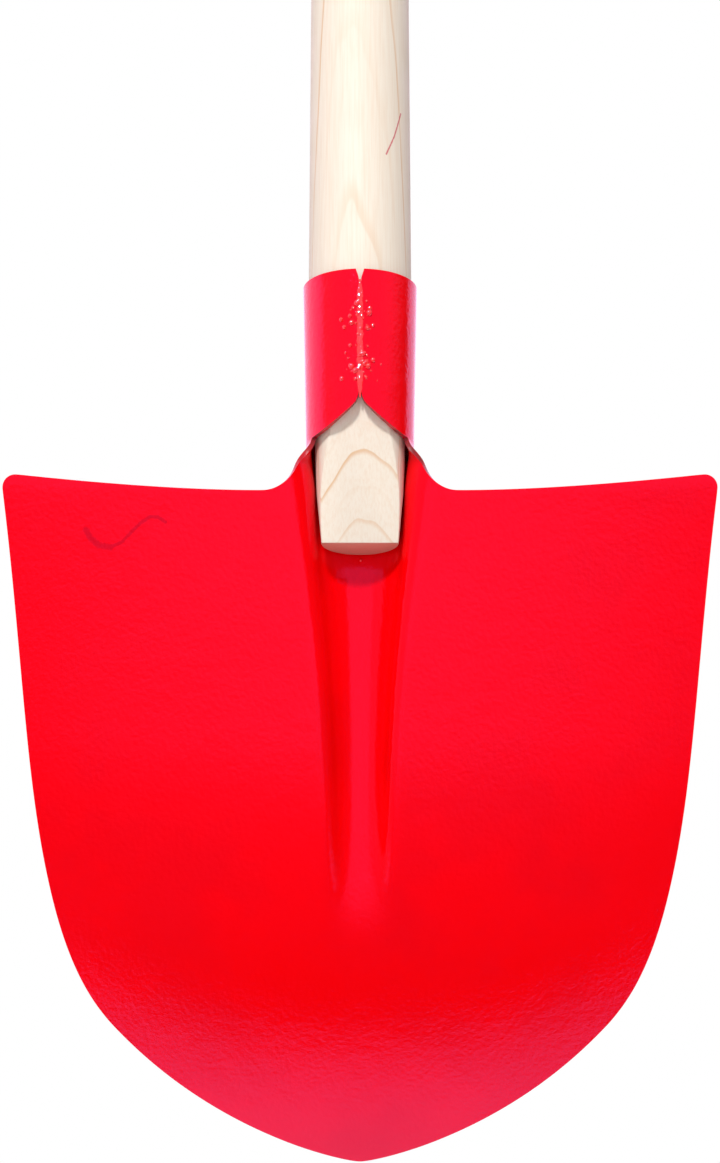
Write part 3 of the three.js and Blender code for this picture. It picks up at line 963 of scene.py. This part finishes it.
def handle_profile():
    """Radius and height of the handle's outline, from its sawn end to its butt."""
    shaft = handle().shaft
    low = [(radius, RIM_Z - depth) for depth, radius in reversed(handle_stations())]
    top = HANDLE_HIGH.z
    rounded = []
    for i in range(5):
        angle = math.pi / 2 * i / 4
        reach = BUTT_CHAMFER * (1 - math.cos(angle))
        rounded.append((shaft - reach, top - BUTT_CHAMFER * (1 - math.sin(angle))))
    return [(0, HANDLE_LOW.z)] + low + rounded + [(0, top)]


class SHOVEL_OT_handle(Operator):
    """Turn the wooden handle and saw its lower end at a slant"""

    bl_idname = "shovel.handle"
    bl_label = "Handle"

    def execute(self, context):
        bm = bmesh.new()
        spin_profile(bm, handle_profile(), HANDLE_STEPS, Vector((0, 0, 1)), Vector((0, 0, 0)))
        end = Vector((0, 0, HANDLE_LOW.z)) - forward() * handle().offset
        cut = bmesh.ops.bisect_plane(
            bm,
            geom=bm.verts[:] + bm.edges[:] + bm.faces[:],
            dist=1e-7,
            plane_co=end,
            plane_no=-forward(),
            clear_outer=True,
        )
        rim = [g for g in cut["geom_cut"] if isinstance(g, bmesh.types.BMEdge)]
        bmesh.ops.holes_fill(bm, edges=rim, sides=0)
        bmesh.ops.recalc_face_normals(bm, faces=bm.faces)
        sawn = [e for e in bm.edges if e.calc_face_angle(0) > 0.5 and e.verts[0].co.z < RIM_Z]
        bmesh.ops.bevel(
            bm, geom=sawn, offset=SAWN_EDGE, segments=2, profile=0.5, affect="EDGES", material=-1
        )
        new_piece("wooden_handle", bm, wood_material(), "handle_shaft")
        return {"FINISHED"}


SCREW_CROWN = 2.4 * MM
SCREW_SHANK = 2 * MM
SCREW_POINT = 4 * MM
SCREW_LIP = 0.2 * MM
SLOT_DEPTH = 1.1 * MM
SLOT_WIDTH = 1 * MM
SLOT_TURN = 0.6


class SHOVEL_OT_screw(Operator):
    """Turn the fixing screw and cut its slot"""

    bl_idname = "shovel.screw"
    bl_label = "Fixing screw"

    def execute(self, context):
        bm = bmesh.new()
        radius = (SCREW_HIGH.x - SCREW_LOW.x) / 2
        tip, crown = SCREW_LOW.y, SCREW_HIGH.y
        seat = crown - SCREW_CROWN
        profile = [(0, tip), (SCREW_SHANK, tip + SCREW_POINT), (SCREW_SHANK, seat)]
        profile.append((radius - SCREW_LIP, seat))
        for i in range(13):
            angle = math.pi / 2 * i / 12
            height = seat + SCREW_LIP + (SCREW_CROWN - SCREW_LIP) * (0.25 + 0.75 * math.sin(angle))
            profile.append((radius * math.cos(angle) if i < 12 else 0, height))
        origin = Vector((0, 0, (SCREW_LOW.z + SCREW_HIGH.z) / 2))
        spin_profile(bm, profile, 64, Vector((0, 1, 0)), origin)
        piece = new_piece("slotted_screw", bm, zinc_material(), "fixing_screw")
        self.cut_slot(piece, origin + Vector((0, crown, 0)), radius)
        return {"FINISHED"}

    def cut_slot(self, piece, centre, radius):
        """Cuts the slot with a bar that is thrown away afterwards."""
        bm = bmesh.new()
        bmesh.ops.create_cube(bm, size=1)
        bmesh.ops.scale(bm, vec=(3 * radius, 2 * SLOT_DEPTH, SLOT_WIDTH), verts=bm.verts)
        bmesh.ops.rotate(bm, cent=(0, 0, 0), matrix=Matrix.Rotation(SLOT_TURN, 3, "Y"), verts=bm.verts)
        bmesh.ops.translate(bm, vec=centre, verts=bm.verts)
        mesh = bpy.data.meshes.new("slot_bar")
        bm.to_mesh(mesh)
        bm.free()
        bar = bpy.data.objects.new("slot_bar", mesh)
        bpy.context.scene.collection.objects.link(bar)
        add_modifier(piece, "BOOLEAN", operation="DIFFERENCE", solver="EXACT", object=bar)
        finished = piece.evaluated_get(bpy.context.evaluated_depsgraph_get())
        cut = bpy.data.meshes.new_from_object(finished)
        piece.modifiers.clear()
        piece.data = cut
        bpy.data.objects.remove(bar)


# ---- Stage ----

AMBIENT = (0.37, 0.37, 0.37, 1)
GLOW = 0.74
GLOW_FADE = 0.19
LEFT_SHADE = 0.45
RIGHT_SHADE = 0.94
SURROUNDINGS = (1.7, 1.25, 1.75, 1)
FLOOR_RADIUS = 4.5
KEY_PLACE = (-0.9, -4.4, 3.1)  # from the upper blade
KEY_SIZE = 0.6
FILL_PLACE = (1.2, 4.2, 1.8)
FILL_SIZE = 1.4


def studio_world():
    """White to the camera; to everything else a studio, brighter or darker by direction."""
    world = bpy.data.worlds.new("Studio")
    world.use_nodes = True
    world.node_tree.nodes.clear()
    n = Nodes(world.node_tree)
    way = n.add("ShaderNodeTexCoord").outputs["Generated"]
    toward = n.vector("DOT_PRODUCT", way, -forward()).outputs["Value"]
    below = n.vector("DOT_PRODUCT", way, down()).outputs["Value"]
    side = n.vector("DOT_PRODUCT", way, (1, 0, 0)).outputs["Value"]
    # In front of the back of the blade, a grey glow fades downwards, with dark panels to either side. The
    # floor shows below it, far out, and bright surroundings lie behind.
    fade = n.math("EXPONENT", n.math("DIVIDE", n.math("MAXIMUM", below, 0.0), -GLOW_FADE))
    level = n.ramp(below, -0.45, -0.25)
    right = n.math("MULTIPLY", n.math("MULTIPLY", n.ramp(side, 0.5, 0.66), RIGHT_SHADE), level)
    left = n.math("MULTIPLY", n.math("MULTIPLY", n.ramp(side, -0.66, -0.5, 1, 0), LEFT_SHADE), level)
    open_share = n.math("SUBTRACT", 1.0, n.math("ADD", left, right))
    glow = n.math("MULTIPLY", fade, n.math("MULTIPLY", open_share, GLOW))
    wide = n.math("SQRT", n.math("SUBTRACT", 1.0, n.math("MULTIPLY", toward, toward)))
    floor_glow = n.math("MULTIPLY", n.ramp(wide, 0.74, 0.92, 0, 1.75), n.ramp(below, 0.15, 0.45))
    ahead = n.math("MAXIMUM", glow, floor_glow)
    behind = n.ramp(n.math("ADD", toward, n.math("MULTIPLY", side, 0.3)), -0.36, -0.14, 1, 0)
    shine = n.mix(behind, ahead, SURROUNDINGS)
    paths = n.add("ShaderNodeLightPath").outputs
    lit = n.mix(paths["Is Diffuse Ray"], shine, AMBIENT)
    strength = n.mix(paths["Is Camera Ray"], lit, (1, 1, 1, 1))
    back = n.add("ShaderNodeBackground", {"Color": strength})
    output = n.add("ShaderNodeOutputWorld")
    n.tree.links.new(back.outputs[0], output.inputs["Surface"])
    bpy.context.scene.world = world


def area_light(name, place, target, size, power):
    """A square soft light that points at a target."""
    data = bpy.data.lights.new(name, "AREA")
    data.size = size
    data.energy = power
    light = bpy.data.objects.new(name, data)
    light.location = place
    light.rotation_euler = (target - place).to_track_quat("-Z", "Y").to_euler()
    bpy.context.scene.collection.objects.link(light)
    return light


class SHOVEL_OT_stage(Operator):
    """Set the floor, the studio, the lights and the camera"""

    bl_idname = "shovel.stage"
    bl_label = "Stage"

    def execute(self, context):
        bpy.context.scene.view_settings.view_transform = "Standard"
        settings = stage()
        bm = bmesh.new()
        bmesh.ops.create_circle(bm, cap_ends=True, segments=96, radius=FLOOR_RADIUS)
        bmesh.ops.translate(bm, vec=(0, 0, HEAD_LOW.z - settings.drop), verts=bm.verts)
        mesh = bpy.data.meshes.new("floor")
        bm.to_mesh(mesh)
        bm.free()
        floor = bpy.data.objects.new("floor", mesh)
        context.scene.collection.objects.link(floor)
        material, _, shader = new_material("Floor")
        shader.inputs["Roughness"].default_value = 0.9
        shader.inputs["Base Color"].default_value = solid(finish().floor)
        mesh.materials.append(material)
        floor.visible_glossy = False
        studio_world()
        target = blade_origin() + down() * settings.aim
        area_light("key", target + Vector(KEY_PLACE), target, KEY_SIZE, settings.key)
        fill = area_light("fill", target + Vector(FILL_PLACE), target, FILL_SIZE, settings.fill)
        fill.visible_glossy = False
        self.camera(target)
        return {"FINISHED"}

    def camera(self, target):
        """The camera looks square on to the upper blade."""
        settings = stage()
        data = bpy.data.cameras.new("camera")
        data.sensor_width = 36
        data.lens = data.sensor_width * settings.distance / settings.view
        camera = bpy.data.objects.new("camera", data)
        bpy.context.scene.collection.objects.link(camera)
        turn = Matrix((Vector((1, 0, 0)), -down(), -forward())).transposed()
        camera.matrix_world = Matrix.Translation(target - forward() * settings.distance) @ turn.to_4x4()
        bpy.context.scene.camera = camera


class SHOVEL_PT_panel(Panel):
    """Lists the settings and the pieces"""

    bl_label = "Round point shovel"
    bl_idname = "SHOVEL_PT_panel"
    bl_space_type = "VIEW_3D"
    bl_region_type = "UI"
    bl_category = "Shovel"

    def draw(self, context):
        for group in (head(), handle(), finish(), stage()):
            box = self.layout.box()
            for key in group.bl_rna.properties.keys():
                if key not in {"rna_type", "name"}:
                    box.prop(group, key)
        for operator in OPERATORS:
            self.layout.operator(operator.bl_idname)


GROUPS = (
    ("shovel_head", HeadSettings),
    ("shovel_handle", HandleSettings),
    ("shovel_finish", FinishSettings),
    ("shovel_stage", StageSettings),
)
OPERATORS = (SHOVEL_OT_head, SHOVEL_OT_weld, SHOVEL_OT_handle, SHOVEL_OT_screw, SHOVEL_OT_stage)


def register():
    """Registers the settings, the operators and the panel."""
    for name, group in GROUPS:
        bpy.utils.register_class(group)
        setattr(bpy.types.Scene, name, PointerProperty(type=group))
    for cls in (*OPERATORS, SHOVEL_PT_panel):
        bpy.utils.register_class(cls)


def unregister():
    """Removes them again."""
    for cls in (SHOVEL_PT_panel, *reversed(OPERATORS)):
        bpy.utils.unregister_class(cls)
    for name, group in reversed(GROUPS):
        delattr(bpy.types.Scene, name)
        bpy.utils.unregister_class(group)


def main():
    """Builds every piece and the stage."""
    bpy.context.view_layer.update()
    register()
    bpy.ops.shovel.head()
    bpy.ops.shovel.weld()
    bpy.ops.shovel.handle()
    bpy.ops.shovel.screw()
    bpy.ops.shovel.stage()


if __name__ == "__main__":
    main()
